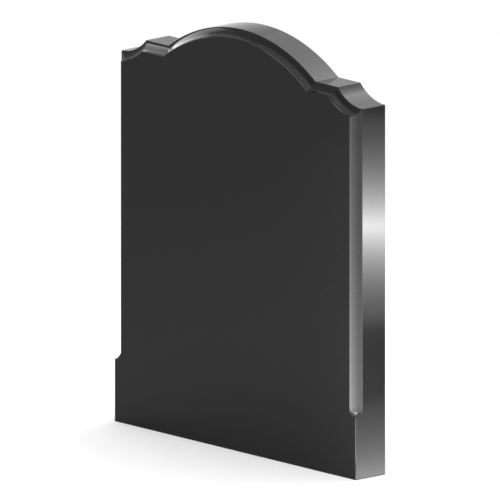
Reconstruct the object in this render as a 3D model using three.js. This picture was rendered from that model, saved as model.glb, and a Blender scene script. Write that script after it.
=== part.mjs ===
// A headstone: one upright slab of polished black stone with a shaped head. The head is a
// broad arch that meets a short level fillet on each side in a sharp notch, and each
// fillet drops to the slab's side in a hollow shoulder. A cove, a concave quarter round,
// is cut along the front edge of the head and sides, mitred at every corner, and ends in
// a round stop above the foot, where the edge is left square.
//
// Millimetres, +X to the right of the front face, +Y from the front face to the back, +Z up.
// The origin is the centre of the underside.

import * as THREE from 'three';
import { LoftGeometry } from 'three/addons/geometries/LoftGeometry.js';
import { mergeVertices } from 'three/addons/utils/BufferGeometryUtils.js';

// Slab
const width = 720;
const height = 860; // from the underside to the crown of the arch
const thickness = 80;

// Head
const archRise = 70; // crown of the arch above the fillets
const filletWidth = 66; // from the notch to the top of the shoulder
const shoulderReach = 74; // from the top of the shoulder out to the side
const shoulderDrop = 33; // from the fillet down to the corner of the side

// Cove along the front edge, struck from the edge itself
const coveRadius = 18;
const coveFoot = 128; // height of the tip of its round stop

// Facets along each curve
const archSteps = 20; // from the crown to one notch
const shoulderSteps = 14;
const coveSteps = 10; // across the cove, from the face to the side
const runOutSteps = 8;

// Levels and radii that follow from the sizes above
const quarterTurn = Math.PI / 2;
const halfWidth = width / 2;
const frontFace = -thickness / 2;
const filletLevel = height - archRise;
const notchReach = halfWidth - shoulderReach - filletWidth;

// Radius of the arc that rises by `rise` over a length `reach`, level at its far end
function arcRadius(reach, rise) {
	return (reach ** 2 + rise ** 2) / (2 * rise);
}

const archRadius = arcRadius(notchReach, archRise);
const archCentre = height - archRadius;
const shoulderRadius = arcRadius(shoulderReach, shoulderDrop);
const shoulderCentre = filletLevel - shoulderDrop + shoulderRadius;

// The arch from its crown to the right notch, on a line that runs `inset` inside the outline
function archLine(inset) {
	const radius = archRadius - inset;
	const rise = filletLevel - inset - archCentre;
	const notchAngle = Math.asin(rise / radius);
	return new THREE.ArcCurve(0, archCentre, radius, quarterTurn, notchAngle, true);
}

// The right shoulder from the end of its fillet to the side, `inset` inside the outline.
// Its centre stands straight above the corner of the side, so the hollow ends level there.
function shoulderLine(inset) {
	const radius = shoulderRadius + inset;
	const topAngle = Math.PI + Math.asin((shoulderCentre - filletLevel + inset) / radius);
	const sideAngle = Math.PI + Math.acos(inset / radius);
	return new THREE.ArcCurve(halfWidth, shoulderCentre, radius, topAngle, sideAngle, false);
}

// The right half of a section that lies `inset` inside the outline and `depth` behind the
// front face. Over the round stop, a quarter of a ball as wide as the cove, both shrink
// until they reach nothing and `footDepth`, and the foot below it stays there.
function rightHalf(inset, depth, footDepth) {
	const head = [
		...archLine(inset).getPoints(archSteps),
		...shoulderLine(inset).getPoints(shoulderSteps),
	];
	const line = head.map((point) => new THREE.Vector3(point.x, frontFace + depth, point.y));
	for (let step = 0; step <= runOutSteps; step++) {
		const turn = quarterTurn * step / runOutSteps;
		const share = Math.cos(turn);
		line.push(new THREE.Vector3(
			halfWidth - inset * share,
			frontFace + footDepth + (depth - footDepth) * share,
			coveFoot + coveRadius * (1 - Math.sin(turn)),
		));
	}
	line.push(new THREE.Vector3(halfWidth, frontFace + footDepth, 0));
	return line;
}

// A whole section: down the right side from the crown and up the left side to it again
function section(inset, depth, footDepth = 0) {
	const right = rightHalf(inset, depth, footDepth);
	const left = right.slice(1).reverse();
	return [...right, ...left.map((point) => new THREE.Vector3(-point.x, point.y, point.z))];
}

// The section at the face, those across the cove to its back edge, and the one at the back
function slabSections() {
	const sections = [];
	for (let step = 0; step <= coveSteps; step++) {
		const turn = quarterTurn * step / coveSteps;
		sections.push(section(coveRadius * Math.cos(turn), coveRadius * Math.sin(turn)));
	}
	sections.push(section(0, thickness, thickness));
	return sections;
}

// One closed body: points in the same place become one, and the triangles that have no
// area once they do, where the cove's sections run together in the foot, are left out
function closedBody(skin) {
	const places = new THREE.BufferGeometry().copy(skin);
	places.deleteAttribute('normal');
	places.deleteAttribute('uv');
	const merged = mergeVertices(places);
	const kept = [];
	const corners = merged.index.array;
	for (let first = 0; first < corners.length; first += 3) {
		const triangle = Array.from(corners.slice(first, first + 3));
		if (new Set(triangle).size === 3) kept.push(...triangle);
	}
	merged.setIndex(kept);
	merged.computeVertexNormals();
	return merged;
}

const polishedBlackStone = new THREE.MeshStandardMaterial({
	color: 0x333333,
	roughness: 0.12,
	metalness: 0,
});

const headstone = new THREE.Mesh(
	closedBody(new LoftGeometry(slabSections(), { capStart: true, capEnd: true })),
	polishedBlackStone,
);
headstone.name = 'headstone';

const part = new THREE.Group();
part.add(headstone);

export default part;
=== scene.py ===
"""A polished black headstone on a pale studio floor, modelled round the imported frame.

Metres, in the frame's own axes: +X to the right of the front face, +Y from the front face
to the back, +Z up, with the origin at the centre of the underside.
"""

from __future__ import annotations

import logging
import math
from dataclasses import dataclass
from enum import Enum

import bpy
import numpy as np
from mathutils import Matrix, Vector

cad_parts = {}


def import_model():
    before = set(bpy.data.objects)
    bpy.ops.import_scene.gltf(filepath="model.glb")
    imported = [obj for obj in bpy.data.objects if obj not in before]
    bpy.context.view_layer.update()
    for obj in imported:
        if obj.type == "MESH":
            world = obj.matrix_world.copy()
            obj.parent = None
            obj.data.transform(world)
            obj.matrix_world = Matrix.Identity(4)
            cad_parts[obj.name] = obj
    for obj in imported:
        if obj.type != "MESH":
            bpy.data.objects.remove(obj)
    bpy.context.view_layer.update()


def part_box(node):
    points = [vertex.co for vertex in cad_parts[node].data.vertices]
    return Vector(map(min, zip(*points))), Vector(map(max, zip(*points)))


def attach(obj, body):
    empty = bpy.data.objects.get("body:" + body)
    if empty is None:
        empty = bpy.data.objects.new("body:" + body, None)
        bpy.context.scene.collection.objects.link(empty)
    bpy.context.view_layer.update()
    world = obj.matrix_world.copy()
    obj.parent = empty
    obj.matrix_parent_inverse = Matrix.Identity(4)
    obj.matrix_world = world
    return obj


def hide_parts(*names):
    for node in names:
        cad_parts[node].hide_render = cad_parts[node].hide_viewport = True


log = logging.getLogger("headstone")

NODE = "headstone"
BODY = "root"
QUARTER = math.pi / 2  # a right angle
WELD = 1e-5  # points closer than this are one point
SEED = 0.001  # side of the small plane that a mesh or a chain starts from
FACING = 0.999  # how much of a face's normal lies along an axis that it faces
CREASE = math.radians(30)  # an edge that turns by more than this stays sharp
FLAT_LEADS = 100  # at this weight the large flat faces lead their corners' normals


class Surface(Enum):
    """How a face of the slab is worked."""

    POLISHED = 0
    HONED = 1
    SAWN = 2


class Element(Enum):
    """What edit mode selects, by Blender's own name for it."""

    VERTEX = "VERT"
    FACE = "FACE"


def deselect_all() -> None:
    """Leave edit mode and select nothing."""
    if bpy.context.mode != "OBJECT":
        bpy.ops.object.mode_set(mode="OBJECT")
    bpy.ops.object.select_all(action="DESELECT")


def activate(piece: bpy.types.Object) -> None:
    """Select one object alone and make it the active one.

    Args:
        piece: The object that the next operators act on.
    """
    deselect_all()
    piece.select_set(True)
    bpy.context.view_layer.objects.active = piece


def edit_chosen(piece: bpy.types.Object, element: Element, chosen: np.ndarray) -> None:
    """Enter edit mode with some of a mesh's vertices or faces selected.

    Args:
        piece: The object to edit.
        element: Whether vertices or faces are selected.
        chosen: One truth value for each of them.
    """
    activate(piece)
    bpy.ops.object.mode_set(mode="EDIT")
    bpy.ops.mesh.select_all(action="DESELECT")
    bpy.ops.mesh.select_mode(type=element.value)
    bpy.ops.object.mode_set(mode="OBJECT")
    elements = piece.data.vertices if element is Element.VERTEX else piece.data.polygons
    elements.foreach_set("select", chosen)
    bpy.ops.object.mode_set(mode="EDIT")


@dataclass(frozen=True)
class Ring:
    """One line round the slab, parallel to its outline.

    Attributes:
        inset: How far it lies inside the outline, over the head and the coved sides.
        depth: How far it lies behind the front face there.
        foot_inset: The same inset below the cove, where the edge is square.
        foot_depth: The same depth below the cove.
    """

    inset: float
    depth: float
    foot_inset: float
    foot_depth: float


@dataclass(frozen=True)
class HeadOutline:
    """The slab's outline: an arch between two fillets, with a hollow shoulder outside each.

    Attributes:
        half_width: Half the slab's width.
        height: Height of the crown of the arch.
        arch_rise: Height of the crown above the fillets.
        fillet_width: Width of the level fillet, from the notch to the shoulder.
        shoulder_reach: Width of the shoulder.
        shoulder_drop: Height of the fillet above the corner of the side.
    """

    half_width: float
    height: float
    arch_rise: float = 0.070
    fillet_width: float = 0.066
    shoulder_reach: float = 0.074
    shoulder_drop: float = 0.033

    @staticmethod
    def arc_radius(reach: float, rise: float) -> float:
        """Return the radius of an arc that is level at one end, from its width and height."""
        return (reach**2 + rise**2) / (2 * rise)

    @property
    def fillet_level(self) -> float:
        """Height of the fillets."""
        return self.height - self.arch_rise

    @property
    def arch_radius(self) -> float:
        """Radius of the arch."""
        reach = self.half_width - self.shoulder_reach - self.fillet_width
        return self.arc_radius(reach, self.arch_rise)

    @property
    def arch_centre(self) -> float:
        """Height of the centre of the arch."""
        return self.height - self.arch_radius

    @property
    def shoulder_radius(self) -> float:
        """Radius of the hollow shoulder."""
        return self.arc_radius(self.shoulder_reach, self.shoulder_drop)

    @property
    def shoulder_centre(self) -> float:
        """Height of the centre of the shoulder, straight above the corner of the side."""
        return self.fillet_level - self.shoulder_drop + self.shoulder_radius

    def arch_turn(self, inset: float) -> float:
        """Return the angle from crown to notch of the arch that runs `inset` inside the outline."""
        return math.acos((self.fillet_level - inset - self.arch_centre) / (self.arch_radius - inset))

    def shoulder_top(self, inset: float) -> tuple[float, float]:
        """Return where the fillet meets the shoulder.

        Args:
            inset: How far the line lies inside the outline.

        Returns:
            Its X and Z.
        """
        level = self.fillet_level - inset
        fall = self.shoulder_centre - level
        reach = math.sqrt((self.shoulder_radius + inset) ** 2 - fall**2)
        return self.half_width - reach, level

    def shoulder_end(self, inset: float) -> tuple[float, float]:
        """Return X and Z of the shoulder's lower end on the line `inset` inside the outline."""
        fall = math.sqrt((self.shoulder_radius + inset) ** 2 - inset**2)
        return self.half_width - inset, self.shoulder_centre - fall


class Chain:
    """A chain of edges in the mesh that is being edited, drawn by extruding and spinning."""

    def __init__(self, x: float, y: float, z: float) -> None:
        """Put down the first vertex.

        Args:
            x: Its X.
            y: Its Y, which arcs keep.
            z: Its Z.
        """
        self.here = Vector((x, y, z))
        bpy.ops.mesh.select_all(action="DESELECT")
        bpy.ops.mesh.primitive_plane_add(size=SEED, location=self.here)
        bpy.ops.mesh.merge(type="CENTER")

    def line_to(self, x: float, y: float, z: float) -> None:
        """Extrude the last vertex along a straight line.

        Args:
            x: X of the line's end.
            y: Y of the line's end.
            z: Z of the line's end.
        """
        there = Vector((x, y, z))
        bpy.ops.mesh.extrude_region_move(TRANSFORM_OT_translate={"value": there - self.here})
        self.here = there

    def arc(self, x: float, z: float, turn: float, steps: int) -> None:
        """Spin the last vertex about an axis along Y.

        Args:
            x: X of the arc's centre.
            z: Z of the arc's centre.
            turn: Its angle in radians, positive when it runs clockwise as seen from the front.
            steps: How many edges it has.
        """
        centre = Vector((x, self.here.y, z))
        bpy.ops.mesh.spin(steps=steps, angle=turn, center=centre, axis=(0, -1, 0))
        out = self.here - centre
        cosine = math.cos(turn)
        sine = math.sin(turn)
        self.here = centre + Vector((out.x * cosine + out.z * sine, 0, out.z * cosine - out.x * sine))


@dataclass(frozen=True)
class Slab:
    """The stone: one slab with a shaped head and a stopped cove along its front edge.

    Attributes:
        outline: The slab's outline.
        thickness: From the front face to the back.
        cove_radius: Radius of the cove, struck from the arris that it takes away.
        cove_foot: Height of the tip of its round stop.
        easing: Radius that every edge is softened to when the stone is polished.
        arch_steps: Edges along half the arch.
        shoulder_steps: Edges along a shoulder.
        cove_steps: Edges across the cove.
        run_out_steps: Edges along a round stop.
        easing_steps: Edges across a softened edge.
    """

    outline: HeadOutline
    thickness: float
    cove_radius: float = 0.018
    cove_foot: float = 0.128
    easing: float = 0.0008
    arch_steps: int = 40
    shoulder_steps: int = 28
    cove_steps: int = 20
    run_out_steps: int = 14
    easing_steps: int = 4

    def front_profile(self) -> list[tuple[float, float]]:
        """Return the section from the face through the cove to the side.

        Returns:
            The inset and depth of each point.
        """
        ease = self.easing
        radius = self.cove_radius
        turns = [QUARTER * step / self.easing_steps for step in range(self.easing_steps + 1)]
        softened = [(ease - ease * math.sin(turn), ease - ease * math.cos(turn)) for turn in turns]
        inner = [(radius + inset, depth) for inset, depth in softened]
        lip = [(inset, radius + depth) for inset, depth in softened]
        first = math.asin(ease / radius)
        cove = []
        for step in range(1, self.cove_steps):
            turn = first + (QUARTER - 2 * first) * step / self.cove_steps
            cove.append((radius * math.cos(turn), radius * math.sin(turn)))
        return inner + cove + lip

    def rings(self) -> list[Ring]:
        """Return every line round the slab, from the front face to the back.

        Returns:
            The rings in order.
        """
        ease = self.easing
        front = self.front_profile()
        rings = []

        # below the cove its lines run on close together, round the eased arris of the foot
        for step, (inset, depth) in enumerate(front):
            turn = QUARTER * step / (len(front) - 1)
            foot = (ease - ease * math.sin(turn), ease - ease * math.cos(turn))
            rings.append(Ring(inset, depth, *foot))
        for step in range(self.easing_steps + 1):
            turn = QUARTER * step / self.easing_steps
            back = (ease - ease * math.cos(turn), self.thickness - ease + ease * math.sin(turn))
            rings.append(Ring(*back, *back))
        return rings

    def draw_ring(self, ring: Ring) -> None:
        """Draw the right half of one ring in the mesh that is being edited.

        The chain runs from the crown down the right side to the middle of the underside.

        Args:
            ring: The ring to draw.
        """
        shape = self.outline
        edge = shape.half_width
        front = -self.thickness / 2
        y = front + ring.depth
        chain = Chain(0, y, shape.height - ring.inset)
        chain.arc(0, shape.arch_centre, shape.arch_turn(ring.inset), self.arch_steps)

        # a corner is softened about the point where the two lines, set in by the
        # softening's radius, would meet; further in than that it is a plain mitre
        inner = max(ring.inset, self.easing)
        top_x, top_z = shape.shoulder_top(inner)
        end_x, end_z = shape.shoulder_end(inner)
        top_slope = math.atan2(shape.shoulder_centre - top_z, edge - top_x)
        end_slope = math.atan2(shape.shoulder_centre - end_z, edge - end_x)
        chain.line_to(top_x, y, shape.fillet_level - ring.inset)
        chain.arc(top_x, top_z, QUARTER - top_slope, self.easing_steps)
        chain.arc(edge, shape.shoulder_centre, top_slope - end_slope, self.shoulder_steps)
        chain.arc(end_x, end_z, end_slope, self.easing_steps)

        for step in range(self.run_out_steps + 1):
            turn = QUARTER * step / self.run_out_steps
            share = math.cos(turn)
            inset = ring.foot_inset + (ring.inset - ring.foot_inset) * share
            depth = ring.foot_depth + (ring.depth - ring.foot_depth) * share
            level = self.cove_foot + self.cove_radius * (1 - math.sin(turn))
            chain.line_to(edge - inset, front + depth, level)

        y = front + ring.foot_depth
        inner = max(ring.foot_inset, self.easing)
        chain.line_to(edge - ring.foot_inset, y, inner)
        chain.arc(edge - inner, inner, QUARTER, self.easing_steps)
        chain.line_to(0, y, ring.foot_inset)

    def build(self) -> bpy.types.Object:
        """Model the slab as one closed mesh.

        Returns:
            The finished piece.
        """
        rings = self.rings()
        deselect_all()
        bpy.ops.mesh.primitive_plane_add(size=SEED, location=(0, 0, 0))
        stone = bpy.context.active_object
        stone.name = "stone_slab"
        stone.data.name = "stone_slab"
        bpy.ops.object.mode_set(mode="EDIT")
        bpy.ops.mesh.delete(type="VERT")
        for ring in rings:
            self.draw_ring(ring)
        bpy.ops.object.mode_set(mode="OBJECT")
        self.skin(stone, len(rings))
        self.close(stone)
        return stone

    def skin(self, stone: bpy.types.Object, count: int) -> None:
        """Bridge each ring to the next and mirror the skin to the left.

        Args:
            stone: The object that holds the rings.
            count: How many rings it holds.
        """
        total = len(stone.data.vertices)
        each = total // count
        numbers = np.arange(total) // each
        for ring in range(count - 1):
            edit_chosen(stone, Element.VERTEX, (numbers == ring) | (numbers == ring + 1))
            bpy.ops.mesh.bridge_edge_loops()
        bpy.ops.mesh.select_all(action="SELECT")
        bpy.ops.mesh.remove_doubles(threshold=WELD)
        bpy.ops.object.mode_set(mode="OBJECT")
        mirror = stone.modifiers.new("left_half", "MIRROR")
        mirror.use_axis = (True, False, False)
        mirror.use_mirror_merge = True
        mirror.merge_threshold = WELD
        bpy.ops.object.modifier_apply(modifier=mirror.name)

    def close(self, stone: bpy.types.Object) -> None:
        """Close the front and back faces, and shade curves smooth and flats flat.

        Args:
            stone: The object with its skin on.
        """
        bpy.ops.object.mode_set(mode="EDIT")
        bpy.ops.mesh.select_all(action="SELECT")
        bpy.ops.mesh.fill_holes(sides=0)
        bpy.ops.mesh.select_all(action="SELECT")
        bpy.ops.mesh.normals_make_consistent(inside=False)
        bpy.ops.object.mode_set(mode="OBJECT")
        bpy.ops.object.shade_smooth_by_angle(angle=CREASE)
        weigh = stone.modifiers.new("flat_faces", "WEIGHTED_NORMAL")
        weigh.keep_sharp = True
        weigh.weight = FLAT_LEADS
        bpy.ops.object.modifier_apply(modifier=weigh.name)

    def dress(self, stone: bpy.types.Object, finishes: dict[Surface, bpy.types.Material]) -> None:
        """Give each face the finish that its place has.

        Args:
            stone: The finished piece.
            finishes: The material of each finish.
        """
        for surface in Surface:
            stone.data.materials.append(finishes[surface])
        normals = np.empty(len(stone.data.polygons) * 3)
        stone.data.polygons.foreach_get("normal", normals)
        normals = normals.reshape(-1, 3)

        # every face starts with the first slot's finish, the polished one
        places = {
            Surface.HONED: normals[:, 1] > FACING,
            Surface.SAWN: normals[:, 2] < -FACING,
        }
        for surface, chosen in places.items():
            edit_chosen(stone, Element.FACE, chosen)
            stone.active_material_index = surface.value
            bpy.ops.object.material_slot_assign()
            bpy.ops.object.mode_set(mode="OBJECT")


class NodeSheet:
    """Adds nodes to the shader of a material or a light, and links them."""

    def __init__(self, owner: bpy.types.Material | bpy.types.Light) -> None:
        """Start from the shader's own nodes and add Object coordinates.

        Args:
            owner: The material or light.
        """
        owner.use_nodes = True
        self.nodes = owner.node_tree.nodes
        self.links = owner.node_tree.links
        self.place = self.nodes.new("ShaderNodeTexCoord").outputs["Object"]

    def link(self, source: bpy.types.NodeSocket, target: bpy.types.NodeSocket) -> None:
        """Join an output to an input."""
        self.links.new(source, target)

    def noise(self, scale: float, detail: float, roughness: float) -> bpy.types.NodeSocket:
        """Add a noise pattern.

        Args:
            scale: Features for each metre.
            detail: How many finer layers it has.
            roughness: How strong those are.

        Returns:
            Its value.
        """
        node = self.nodes.new("ShaderNodeTexNoise")
        node.inputs["Scale"].default_value = scale
        node.inputs["Detail"].default_value = detail
        node.inputs["Roughness"].default_value = roughness
        self.link(self.place, node.inputs["Vector"])
        return node.outputs["Fac"]

    def grains(self, scale: float) -> bpy.types.NodeSocket:
        """Add a pattern of crystals, each with its own random value.

        Args:
            scale: Crystals for each metre.

        Returns:
            The crystals' random colour.
        """
        node = self.nodes.new("ShaderNodeTexVoronoi")
        node.inputs["Scale"].default_value = scale
        self.link(self.place, node.inputs["Vector"])
        return node.outputs["Color"]

    def spread(
        self, value: bpy.types.NodeSocket, low: float, high: float, start: float, end: float
    ) -> bpy.types.NodeSocket:
        """Map a value from one range to another, and hold it at the ends.

        Args:
            value: The value to map.
            low: Where its range starts.
            high: Where it ends.
            start: What it becomes at its start.
            end: What it becomes at its end.

        Returns:
            The new value.
        """
        node = self.nodes.new("ShaderNodeMapRange")
        node.inputs["From Min"].default_value = low
        node.inputs["From Max"].default_value = high
        node.inputs["To Min"].default_value = start
        node.inputs["To Max"].default_value = end
        self.link(value, node.inputs["Value"])
        return node.outputs["Result"]

    def blend(
        self,
        share: bpy.types.NodeSocket,
        under: bpy.types.NodeSocket | tuple[float, float, float],
        over: tuple[float, float, float],
    ) -> bpy.types.NodeSocket:
        """Mix two colours.

        Args:
            share: How much of the second shows.
            under: The first colour, or where it comes from.
            over: The second colour.

        Returns:
            The mixed colour.
        """
        node = self.nodes.new("ShaderNodeMix")
        node.data_type = "RGBA"
        self.link(share, node.inputs["Factor"])
        if isinstance(under, tuple):
            node.inputs["A"].default_value = (*under, 1)
        else:
            self.link(under, node.inputs["A"])
        node.inputs["B"].default_value = (*over, 1)
        return node.outputs["Result"]

    def bump(self, height: bpy.types.NodeSocket, distance: float) -> bpy.types.NodeSocket:
        """Raise the surface by a pattern.

        Args:
            height: The pattern.
            distance: How high it stands, in metres.

        Returns:
            The raised surface's normal.
        """
        node = self.nodes.new("ShaderNodeBump")
        node.inputs["Distance"].default_value = distance
        self.link(height, node.inputs["Height"])
        return node.outputs["Normal"]

    def fall_off(self, core: tuple[float, float], fade: tuple[float, float]) -> bpy.types.NodeSocket:
        """Make a value that is 1 at one place and falls off evenly away from it.

        Args:
            core: X and Y of that place.
            fade: How fast the value falls along X and along Y, for each metre.

        Returns:
            The value.
        """
        away = self.nodes.new("ShaderNodeVectorMath")
        away.operation = "SUBTRACT"
        away.inputs[1].default_value = (*core, 0)
        self.link(self.place, away.inputs[0])
        distance = self.nodes.new("ShaderNodeVectorMath")
        distance.operation = "ABSOLUTE"
        self.link(away.outputs["Vector"], distance.inputs[0])
        loss = self.nodes.new("ShaderNodeVectorMath")
        loss.operation = "DOT_PRODUCT"
        loss.inputs[1].default_value = (-fade[0], -fade[1], 0)
        self.link(distance.outputs["Vector"], loss.inputs[0])
        power = self.nodes.new("ShaderNodeMath")
        power.operation = "EXPONENT"
        self.link(loss.outputs["Value"], power.inputs[0])
        return power.outputs["Value"]


@dataclass(frozen=True)
class BlackStone:
    """Black gabbro: dark crystals with a few paler ones, under one kind of finish.

    Attributes:
        name: The material's name.
        dark: Colour of the darkest crystals.
        pale: Colour of the paler crystals between them.
        fleck: Colour of the rare pale crystals.
        smooth: Roughness of the best finished spots.
        rough: Roughness of the worst finished spots.
        grain: Height of the crystals left proud by the finish.
        sheen_index: Index of refraction of the finished surface.
        crystals: Crystals for each metre.
        minerals: Darker and paler places for each metre.
        clouds: Better and worse finished places for each metre.
    """

    name: str
    dark: tuple[float, float, float]
    pale: tuple[float, float, float]
    fleck: tuple[float, float, float]
    smooth: float
    rough: float
    grain: float
    sheen_index: float = 1.29
    crystals: float = 620
    minerals: float = 380
    clouds: float = 9

    def make(self) -> bpy.types.Material:
        """Build the material.

        Returns:
            The material.
        """
        stone = bpy.data.materials.new(self.name)
        sheet = NodeSheet(stone)
        shader = sheet.nodes["Principled BSDF"]
        clouds = sheet.noise(scale=self.clouds, detail=3, roughness=0.5)
        crystals = sheet.grains(scale=self.crystals)
        minerals = sheet.noise(scale=self.minerals, detail=5, roughness=0.65)
        paleness = sheet.spread(minerals, low=0.35, high=0.65, start=0, end=1)
        ground = sheet.blend(paleness, self.dark, self.pale)
        flecks = sheet.spread(crystals, low=0.86, high=0.97, start=0, end=1)
        sheet.link(sheet.blend(flecks, ground, self.fleck), shader.inputs["Base Color"])
        finish = sheet.spread(clouds, low=0.3, high=0.7, start=self.smooth, end=self.rough)
        sheet.link(finish, shader.inputs["Roughness"])
        sheet.link(sheet.bump(crystals, self.grain), shader.inputs["Normal"])
        shader.inputs["IOR"].default_value = self.sheen_index
        return stone


@dataclass(frozen=True)
class SoftBox:
    """A rectangular studio light that the polished faces reflect.

    Attributes:
        name: The light's name.
        place: Where its middle is.
        aim: The point that it faces.
        width: Its width.
        height: Its height.
        glow: How bright it is at its brightest place, where the room's walls are 1.
        core: That place, across and up from its middle.
        fade: How fast it gets darker away from there, across and up, for each metre.
        flagged: Whether its light is kept off the floor.
    """

    name: str
    place: tuple[float, float, float]
    aim: tuple[float, float, float]
    width: float
    height: float
    glow: float
    core: tuple[float, float] = (0, 0)
    fade: tuple[float, float] = (0, 0)
    flagged: bool = False

    def hang(self, subject: bpy.types.Collection) -> None:
        """Add the light to the scene.

        Args:
            subject: What a flagged light still falls on.
        """
        lamp = bpy.data.lights.new(self.name, "AREA")
        lamp.shape = "RECTANGLE"
        lamp.size = self.width
        lamp.size_y = self.height
        lamp.energy = self.glow * math.pi * self.width * self.height
        sheet = NodeSheet(lamp)
        sheet.link(sheet.fall_off(self.core, self.fade), sheet.nodes["Emission"].inputs["Strength"])
        box = bpy.data.objects.new(self.name, lamp)
        bpy.context.scene.collection.objects.link(box)
        box.location = self.place
        box.rotation_euler = (Vector(self.aim) - Vector(self.place)).to_track_quat("-Z", "Y").to_euler()
        box.visible_camera = False
        if self.flagged:
            box.light_linking.receiver_collection = subject


@dataclass(frozen=True)
class Studio:
    """The pale floor, the soft lights and the camera.

    Attributes:
        azimuth: Degrees that the camera stands round from the front, towards +X.
        elevation: Degrees that it looks down by.
        view_width: Width of the picture at the stone.
        aim_height: Height of the point in the middle of the picture.
        distance: How far the camera stands from that point.
        floor_size: Side of the floor.
        floor_tone: How pale the floor is.
        floor_roughness: How dull it is.
        room_light: Brightness of the pale room round the stone.
        boxes: The soft lights.
    """

    azimuth: float = 48.07
    elevation: float = 12.74
    view_width: float = 0.9986
    aim_height: float = 0.405
    distance: float = 6.0
    floor_size: float = 30.0
    floor_tone: float = 0.92
    floor_roughness: float = 0.9
    room_light: float = 1.08
    boxes: tuple[SoftBox, ...] = ()

    def lay_floor(self) -> None:
        """Add the floor."""
        deselect_all()
        bpy.ops.mesh.primitive_plane_add(size=self.floor_size, location=(0, 0, 0))
        floor = bpy.context.active_object
        floor.name = "studio_floor"
        paper = bpy.data.materials.new("studio_floor")
        paper.use_nodes = True
        shader = paper.node_tree.nodes["Principled BSDF"]
        shader.inputs["Base Color"].default_value = (*[self.floor_tone] * 3, 1)
        shader.inputs["Roughness"].default_value = self.floor_roughness
        floor.data.materials.append(paper)

    def light(self, stone: bpy.types.Object) -> None:
        """Add the even light of the room and the soft lights.

        Args:
            stone: The piece that the soft lights are there for.
        """
        world = bpy.data.worlds.new("pale_room")
        bpy.context.scene.world = world
        world.use_nodes = True
        room = world.node_tree.nodes["Background"]
        room.inputs["Color"].default_value = (1, 1, 1, 1)
        room.inputs["Strength"].default_value = self.room_light
        subject = bpy.data.collections.new("lit_stone")
        subject.objects.link(stone)
        for box in self.boxes:
            box.hang(subject)

    def place_camera(self) -> None:
        """Add the camera, which sees the stone without perspective."""
        lens = bpy.data.cameras.new("camera")
        lens.type = "ORTHO"
        lens.ortho_scale = self.view_width
        camera = bpy.data.objects.new("camera", lens)
        bpy.context.scene.collection.objects.link(camera)
        turn = math.radians(self.azimuth)
        lift = math.radians(self.elevation)
        back = Vector((math.sin(turn) * math.cos(lift), -math.cos(turn) * math.cos(lift), math.sin(lift)))
        camera.location = Vector((0, 0, self.aim_height)) + back * self.distance
        camera.rotation_euler = (-back).to_track_quat("-Z", "Y").to_euler()
        bpy.context.scene.camera = camera

    def build(self, stone: bpy.types.Object) -> None:
        """Set the whole studio up.

        Args:
            stone: The piece to show.
        """
        self.lay_floor()
        self.light(stone)
        self.place_camera()
        bpy.context.scene.view_settings.view_transform = "Standard"


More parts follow.
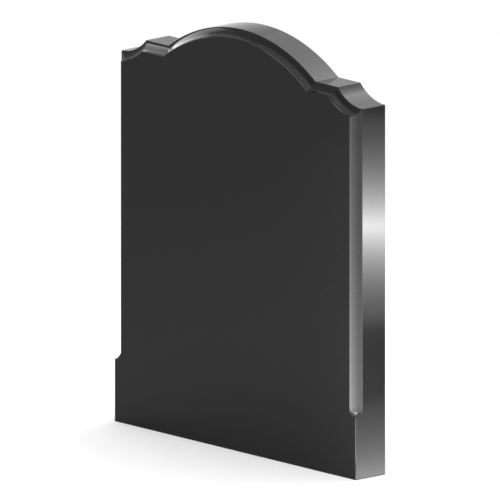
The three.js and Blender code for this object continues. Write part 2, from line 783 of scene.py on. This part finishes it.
# Each one stands where the camera sees it mirrored in the polished stone. The side mirrors
# what is low behind it to the right, the level tops mirror what is high behind to the left,
# the face mirrors what is low before it to the left, and the cove all that lies between.
SOFT_BOXES = (
    SoftBox(
        name="side_strip",
        place=(0.955, 0.534, 0.348),
        aim=(0.36, 0, 0.348),
        width=0.30,
        height=0.43,
        glow=43,
        core=(0, -0.015),
        fade=(0, 15),
        flagged=True,
    ),
    SoftBox(
        name="floor_glow",
        place=(0.611, 0.26, 0.001),
        aim=(0.611, 0.26, 1),
        width=0.50,
        height=0.64,
        glow=13,
        core=(0.25, 0),
        fade=(4.7, 0),
    ),
    SoftBox(
        name="cove_right",
        place=(0.47, -0.046, 0.3725),
        aim=(0.36, -0.046, 0.3725),
        width=0.168,
        height=0.725,
        glow=28.5,
        core=(0.084, -0.3625),
        fade=(3.0, 2.25),
        flagged=True,
    ),
    SoftBox(
        name="cove_front",
        place=(0.372, -0.13, 0.3725),
        aim=(0.372, 0, 0.3725),
        width=0.196,
        height=0.725,
        glow=18.3,
        core=(0.098, -0.3625),
        fade=(3.8, 2.25),
        flagged=True,
    ),
    SoftBox(
        name="stop_lid",
        place=(0.53, -0.22, 0.69),
        aim=(0.53, -0.22, 0),
        width=0.34,
        height=0.36,
        glow=20,
        flagged=True,
    ),
    SoftBox(
        name="back_high",
        place=(-0.05, 1.0, 1.8),
        aim=(-0.05, 0, 0.82),
        width=2.1,
        height=0.9,
        glow=8,
        core=(-0.25, 0),
        fade=(2.2, 1.0),
    ),
    SoftBox(
        name="cove_left",
        place=(-0.45, -0.125, 0.915),
        aim=(0, -0.125, 0.915),
        width=0.45,
        height=0.17,
        glow=14,
        core=(0.01, -0.085),
        fade=(2.8, 12),
        flagged=True,
    ),
    SoftBox(
        name="overhead",
        place=(0.35, -0.5, 2.2),
        aim=(0.35, -0.5, 0),
        width=2.4,
        height=2.4,
        glow=3.2,
        core=(0.1, 0),
        fade=(1.1, 1.1),
    ),
)

FINISHES = {
    Surface.POLISHED: BlackStone(
        name="polished_black_stone",
        dark=(0.0005, 0.0005, 0.00053),
        pale=(0.0014, 0.0014, 0.00147),
        fleck=(0.008, 0.008, 0.0082),
        smooth=0.10,
        rough=0.13,
        grain=0.000002,
    ),
    Surface.HONED: BlackStone(
        name="honed_black_stone",
        dark=(0.018, 0.018, 0.019),
        pale=(0.036, 0.036, 0.037),
        fleck=(0.075, 0.075, 0.077),
        smooth=0.34,
        rough=0.42,
        grain=0.00001,
    ),
    Surface.SAWN: BlackStone(
        name="sawn_black_stone",
        dark=(0.06, 0.06, 0.06),
        pale=(0.11, 0.11, 0.11),
        fleck=(0.17, 0.17, 0.17),
        smooth=0.75,
        rough=0.85,
        grain=0.00004,
    ),
}


def main() -> None:
    """Build the scene: the slab in place of its plain solid, and the studio round it."""
    logging.basicConfig(level=logging.INFO, format="%(name)s: %(message)s")
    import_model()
    low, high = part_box(NODE)
    outline = HeadOutline(half_width=(high[0] - low[0]) / 2, height=high[2] - low[2])
    slab = Slab(outline=outline, thickness=high[1] - low[1])
    stone = slab.build()
    slab.dress(stone, {surface: finish.make() for surface, finish in FINISHES.items()})
    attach(stone, BODY)
    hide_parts(NODE)
    faces = len(stone.data.polygons)
    log.info("%s: %d vertices, %d faces", stone.name, len(stone.data.vertices), faces)

    Studio(boxes=SOFT_BOXES).build(stone)


if __name__ == "__main__":
    main()
